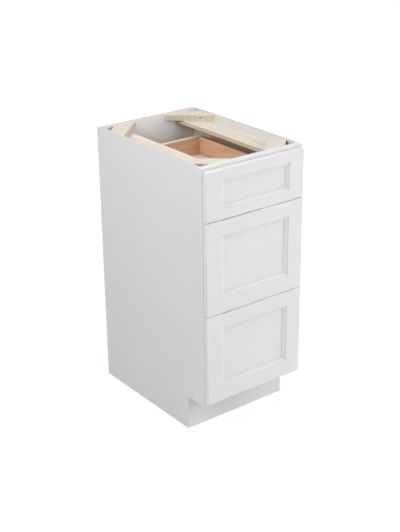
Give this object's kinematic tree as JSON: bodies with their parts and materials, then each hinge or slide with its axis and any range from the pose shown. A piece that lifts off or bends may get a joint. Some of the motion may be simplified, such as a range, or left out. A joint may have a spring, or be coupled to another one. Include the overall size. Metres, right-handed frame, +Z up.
{
  "type": "vanity drawer base cabinet",
  "caption": "Tall narrow framed base cabinet with stacked drawers that slide on concealed runners, stepped recessed-panel fronts, open top with corner blocks and a toe recess.",
  "frame": {"origin": "on the floor, in the middle of the cabinet's overall width and depth", "axes": "+X to the right as seen from the front, +Y to the back, +Z up; the drawers open along -Y"},
  "size_m": [0.381, 0.5504, 0.8763],
  "materials": {
    "white_paint": "satin white paint on hardwood",
    "case_plywood": "white satin faces, bare veneer edges",
    "bare_plywood": "clear-coated birch plywood",
    "pine": "bare sawn pine",
    "drawer_birch": "clear satin lacquer on solid birch",
    "drawer_bottom_ply": "clear satin lacquer on plywood",
    "zinc_steel": "zinc-plated rolled sheet",
    "zinc_screws": "zinc-plated",
    "grey_plastic": "moulded, fine texture"
  },
  "bodies": {
    "cabinet": {"left_side_panel": "case_plywood", "right_side_panel": "case_plywood", "back_panel": "case_plywood", "hanging_rails": "bare_plywood", "bottom_panel": "bare_plywood", "toe_kick_board": "white_paint", "corner_blocks": "pine", "corner_block_screws": "zinc_screws", "left_top_stretcher": "bare_plywood", "right_top_stretcher": "bare_plywood", "frame_left_stile": "white_paint", "frame_right_stile": "white_paint", "frame_top_rail": "white_paint", "frame_mid_rails": "white_paint", "frame_bottom_rail": "white_paint", "runner_cabinet_members": "zinc_steel", "runner_rear_brackets": "grey_plastic", "runner_screws": "zinc_screws"},
    "top_drawer": {"top_front_left_stile": "white_paint", "top_front_right_stile": "white_paint", "top_front_lower_rail": "white_paint", "top_front_upper_rail": "white_paint", "top_front_panel": "white_paint", "top_box_left_side": "drawer_birch", "top_box_right_side": "drawer_birch", "top_box_front": "drawer_birch", "top_box_back": "drawer_birch", "top_box_bottom": "drawer_bottom_ply", "top_runner_drawer_members": "zinc_steel", "top_runner_clips": "grey_plastic", "top_front_screws": "zinc_screws"},
    "top_runner_middles": {"top_runner_middle_members": "zinc_steel"},
    "middle_drawer": {"middle_front_left_stile": "white_paint", "middle_front_right_stile": "white_paint", "middle_front_lower_rail": "white_paint", "middle_front_upper_rail": "white_paint", "middle_front_panel": "white_paint", "middle_box_left_side": "drawer_birch", "middle_box_right_side": "drawer_birch", "middle_box_front": "drawer_birch", "middle_box_back": "drawer_birch", "middle_box_bottom": "drawer_bottom_ply", "middle_runner_drawer_members": "zinc_steel", "middle_runner_clips": "grey_plastic", "middle_front_screws": "zinc_screws"},
    "middle_runner_middles": {"middle_runner_middle_members": "zinc_steel"},
    "bottom_drawer": {"bottom_front_left_stile": "white_paint", "bottom_front_right_stile": "white_paint", "bottom_front_lower_rail": "white_paint", "bottom_front_upper_rail": "white_paint", "bottom_front_panel": "white_paint", "bottom_box_left_side": "drawer_birch", "bottom_box_right_side": "drawer_birch", "bottom_box_front": "drawer_birch", "bottom_box_back": "drawer_birch", "bottom_box_bottom": "drawer_bottom_ply", "bottom_runner_drawer_members": "zinc_steel", "bottom_runner_clips": "grey_plastic", "bottom_front_screws": "zinc_screws"},
    "bottom_runner_middles": {"bottom_runner_middle_members": "zinc_steel"}
  },
  "joints": [
    {"name": "top_drawer_slide", "type": "slide", "parent": "cabinet", "child": "top_drawer", "axis": [0, -1, 0], "range_m": [0, 0.42]},
    {"name": "top_runner_slide", "type": "slide", "parent": "cabinet", "child": "top_runner_middles", "axis": [0, -1, 0], "range_m": [0, 0.21]},
    {"name": "middle_drawer_slide", "type": "slide", "parent": "cabinet", "child": "middle_drawer", "axis": [0, -1, 0], "range_m": [0, 0.42]},
    {"name": "middle_runner_slide", "type": "slide", "parent": "cabinet", "child": "middle_runner_middles", "axis": [0, -1, 0], "range_m": [0, 0.21]},
    {"name": "bottom_drawer_slide", "type": "slide", "parent": "cabinet", "child": "bottom_drawer", "axis": [0, -1, 0], "range_m": [0, 0.42]},
    {"name": "bottom_runner_slide", "type": "slide", "parent": "cabinet", "child": "bottom_runner_middles", "axis": [0, -1, 0], "range_m": [0, 0.21]}
  ],
  "couplings": [
    {"joint": "top_runner_slide", "follows": "top_drawer_slide", "ratio": 0.5},
    {"joint": "middle_runner_slide", "follows": "middle_drawer_slide", "ratio": 0.5},
    {"joint": "bottom_runner_slide", "follows": "bottom_drawer_slide", "ratio": 0.5}
  ]
}
